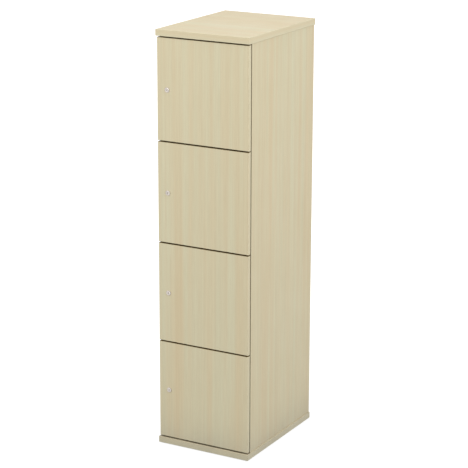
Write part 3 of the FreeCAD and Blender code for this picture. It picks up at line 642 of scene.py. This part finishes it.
cup_screw_twist = 41
wing_offset = 9.5 * MM
wing_screw_spread = 22.5 * MM
for number in door_numbers:
    low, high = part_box(f"door_{number}_hinge_cups")
    wing_line = (low.x + high.x) / 2 - wing_offset
    paint(casting, f"door_{number}_hinge_cups")
    paint(nickel, f"door_{number}_inner_links", f"door_{number}_outer_links")
    set_out(
        f"door_{number}_cup_screws",
        wood_screw,
        [
            facing(
                wing_line,
                high.y,
                height + side * wing_screw_spread,
                "+Y",
                cup_screw_twist * number + 60 * side,
            )
            for height in hinge_heights(number)
            for side in (-1, 1)
        ],
        f"door_{number}",
        bright_zinc,
    )

# Locks. A turned barrel and plug with a satin nickel finish show in each door, and a fine bead
# runs round the barrel's face. The tongue behind is zinc plated steel, held by a nut.

satin_nickel = plated(
    "satin_nickel", (0.55, 0.505, 0.46, 1), (0.47, 0.43, 0.39, 1), (0.30, 0.42), depth=0.004 * MM
)
bead_thickness = 0.35 * MM
bead_radius = 8.2 * MM
barrel_low, barrel_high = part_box("door_1_lock_barrel")
lock_line = (barrel_low.x + barrel_high.x) / 2
bead = bmesh.new()
bmesh.ops.create_circle(bead, segments=10, radius=bead_thickness)
bmesh.ops.rotate(bead, verts=bead.verts, cent=(0, 0, 0), matrix=Matrix.Rotation(math.radians(90), 3, "X"))
bmesh.ops.translate(bead, verts=bead.verts, vec=(bead_radius, 0, 0))
bmesh.ops.spin(
    bead,
    geom=list(bead.verts) + list(bead.edges),
    cent=(0, 0, 0),
    axis=(0, 0, 1),
    angle=math.radians(360),
    steps=56,
    use_merge=True,
)
bmesh.ops.remove_doubles(bead, verts=bead.verts, dist=0.001 * MM)
bmesh.ops.recalc_face_normals(bead, faces=bead.faces)
bead_shape = bpy.data.meshes.new("bead")
bead.to_mesh(bead_shape)
bead.free()
for number in door_numbers:
    rosette_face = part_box(f"door_{number}_lock_barrel")[0].y
    paint(satin_nickel, f"door_{number}_lock_barrel", f"door_{number}_lock_plug")
    paint(zinc_steel, f"door_{number}_lock_tongue")
    set_out(
        f"door_{number}_lock_bead",
        bead_shape,
        [facing(lock_line, rosette_face, lock_height(number), "-Y")],
        f"door_{number}",
        satin_nickel,
    )

# Lock cases. Black moulded boxes over the coin mechanism, with a slot for the coin on top and a
# cup for its return below, each held to its door by a screw at each of three corners.

case_plastic = moulding("case_plastic", (0.022, 0.022, 0.024, 1), (0.036, 0.036, 0.038, 1))
screw_from_left = 8 * MM
screw_from_right = 9 * MM
screw_from_end = 9 * MM
for number in door_numbers:
    low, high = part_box(f"door_{number}_lock_case")
    left = low.x + screw_from_left
    right = high.x - screw_from_right
    upper = high.z - screw_from_end
    lower = low.z + screw_from_end
    paint(case_plastic, f"door_{number}_lock_case")
    set_out(
        f"door_{number}_case_screws",
        machine_screw,
        [
            facing(left, high.y, upper, "+Y", 15 * number),
            facing(left, high.y, lower, "+Y", 50 * number),
            facing(right, high.y, lower, "+Y", 80 * number),
        ],
        f"door_{number}",
        bright_zinc,
    )

# Studio. A white paper floor, and soft lamps above, to the front left and to the right. The floor
# is white to the camera and in reflections, and keeps the column's shadow.

paper_mesh = bmesh.new()
bmesh.ops.create_grid(paper_mesh, x_segments=1, y_segments=1, size=30)
paper_data = bpy.data.meshes.new("floor")
paper_mesh.to_mesh(paper_data)
paper_mesh.free()
paper_floor = bpy.data.objects.new("floor", paper_data)
bpy.context.collection.objects.link(paper_floor)


def seen_white(tree):
    """One where the camera, a reflection or clear stuff looks, and zero where light bounces."""
    rays = node(tree, "ShaderNodeLightPath").outputs
    looked_at = sum_up(tree, "MAXIMUM", rays["Is Camera Ray"], rays["Is Glossy Ray"])
    return sum_up(tree, "MAXIMUM", looked_at, rays["Is Transmission Ray"])


paper, tree, shader, own = start_material(
    "white_paper", Base_Color=(0.3, 0.3, 0.3, 1), Roughness=0.9, Emission_Color=(1, 1, 1, 1)
)
# The floor is a little duller round the column, so that the shadow there shows.
far = node(tree, "ShaderNodeVectorMath", {0: own["Object"]}, operation="LENGTH").outputs["Value"]
lit = spread(tree, far, 0.6, 2.2, 0.80, 1.0)
tree.links.new(sum_up(tree, "MULTIPLY", seen_white(tree), lit), shader.inputs["Emission Strength"])
paper_data.materials.append(paper)

world = bpy.data.worlds.new("studio")
bpy.context.scene.world = world
world.use_nodes = True
sky = world.node_tree.nodes["Background"]
sky.inputs["Color"].default_value = (1, 1, 1, 1)
strength = spread(world.node_tree, seen_white(world.node_tree), 0, 1, 0.70, 1.0)
world.node_tree.links.new(strength, sky.inputs["Strength"])


def soft_lamp(name, place, aim, width, power):
    data = bpy.data.lights.new(name, "AREA")
    data.shape = "SQUARE"
    data.size = width
    data.energy = power
    lamp = bpy.data.objects.new(name, data)
    lamp.location = place
    lamp.rotation_euler = (Vector(aim) - Vector(place)).to_track_quat("-Z", "Y").to_euler()
    bpy.context.collection.objects.link(lamp)


soft_lamp("lamp_front", (-1.6, -4.2, 3.4), (0, 0, 1.1), 2.2, 118)
soft_lamp("lamp_side", (4.2, -0.8, 3.2), (0, 0, 1.1), 2.2, 116)
soft_lamp("lamp_top", (0.2, -0.4, 4.4), (0, 0, 1.5), 1.8, 12)

camera_data = bpy.data.cameras.new("camera")
camera_data.sensor_width = 36
camera_data.lens = 139.65
camera_data.clip_end = 100
camera = bpy.data.objects.new("camera", camera_data)
camera.location = (3.3309, -5.9574, 2.7515)
camera.rotation_euler = Euler([math.radians(angle) for angle in (74.216, -0.132, 29.318)])
bpy.context.collection.objects.link(camera)
bpy.context.scene.camera = camera
bpy.context.scene.view_settings.view_transform = "Standard"
